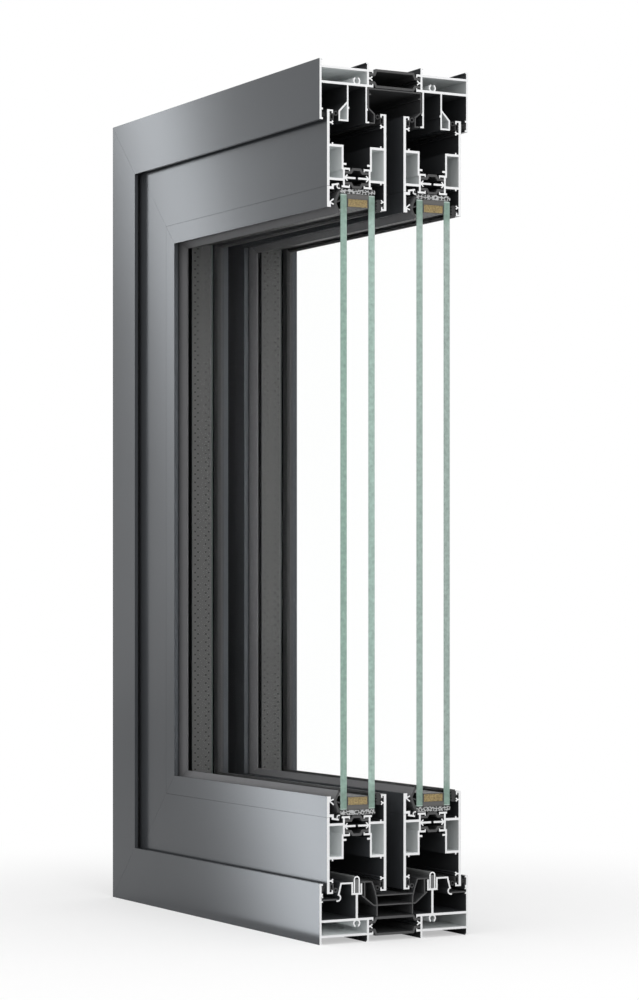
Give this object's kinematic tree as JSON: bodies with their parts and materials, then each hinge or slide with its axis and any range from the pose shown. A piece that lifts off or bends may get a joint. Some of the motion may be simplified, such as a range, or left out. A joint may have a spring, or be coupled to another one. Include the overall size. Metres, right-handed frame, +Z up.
{
  "type": "sliding patio door corner sample",
  "caption": "Cut corner sample of a sliding patio door: thermally broken head, jamb and sill with tracks, and double-glazed sashes that slide on rollers.",
  "frame": {"origin": "on the floor plane, under the middle of the sample's bounding box", "axes": "+X along the sill from the jamb to the cut end, +Y from the front face to the rear face, +Z up"},
  "size_m": [0.411, 0.14, 0.718],
  "materials": {
    "frame_metal": "satin powder coat, bare at the saw cuts",
    "sash_metal": "satin powder coat, bare at the saw cuts",
    "rail_metal": "mill",
    "rail_core": "matt",
    "thermal_plastic": "matt",
    "dark_plastic": "matt",
    "pile": "brush pile",
    "seal_rubber": "matt",
    "glass": "clear, green at the cut edge",
    "spacer_metal": "dark anodised",
    "desiccant": "grains",
    "sealant": "matt",
    "pad": "cellular",
    "carriage_metal": "brushed",
    "roller": "moulded"
  },
  "bodies": {
    "frame": {"head_front_profile": "frame_metal", "head_rear_profile": "frame_metal", "jamb_front_profile": "frame_metal", "jamb_rear_profile": "frame_metal", "sill_front_profile": "frame_metal", "sill_rear_profile": "frame_metal", "frame_thermal_strips": "thermal_plastic", "head_liner": "dark_plastic", "jamb_liner": "dark_plastic", "sill_centre_chamber": "dark_plastic", "front_rail_cap": "rail_metal", "rear_rail_cap": "rail_metal", "rail_cores": "rail_core", "sill_closing_strips": "dark_plastic", "frame_pile_seals": "pile"},
    "front_sash": {"front_sash_top_rail": "sash_metal", "front_sash_stile": "sash_metal", "front_sash_bottom_rail": "sash_metal", "front_sash_glazing_beads": "sash_metal", "front_sash_thermal_strips": "thermal_plastic", "front_sash_edge_seals": "seal_rubber", "front_sash_glazing_gaskets": "seal_rubber", "front_sash_front_pane": "glass", "front_sash_rear_pane": "glass", "front_sash_spacer": "spacer_metal", "front_sash_desiccant": "desiccant", "front_sash_edge_sealant": "sealant", "front_sash_setting_pads": "pad", "front_sash_roller_carriage": "carriage_metal", "front_sash_rollers": "roller"},
    "rear_sash": {"rear_sash_top_rail": "sash_metal", "rear_sash_stile": "sash_metal", "rear_sash_bottom_rail": "sash_metal", "rear_sash_glazing_beads": "sash_metal", "rear_sash_thermal_strips": "thermal_plastic", "rear_sash_edge_seals": "seal_rubber", "rear_sash_glazing_gaskets": "seal_rubber", "rear_sash_front_pane": "glass", "rear_sash_rear_pane": "glass", "rear_sash_spacer": "spacer_metal", "rear_sash_desiccant": "desiccant", "rear_sash_edge_sealant": "sealant", "rear_sash_setting_pads": "pad", "rear_sash_roller_carriage": "carriage_metal", "rear_sash_rollers": "roller"}
  },
  "joints": [
    {"name": "front_sash_slide", "type": "slide", "parent": "frame", "child": "front_sash", "axis": [1, 0, 0], "range_m": [0, 0.15]},
    {"name": "rear_sash_slide", "type": "slide", "parent": "frame", "child": "rear_sash", "axis": [1, 0, 0], "range_m": [0, 0.15]}
  ]
}
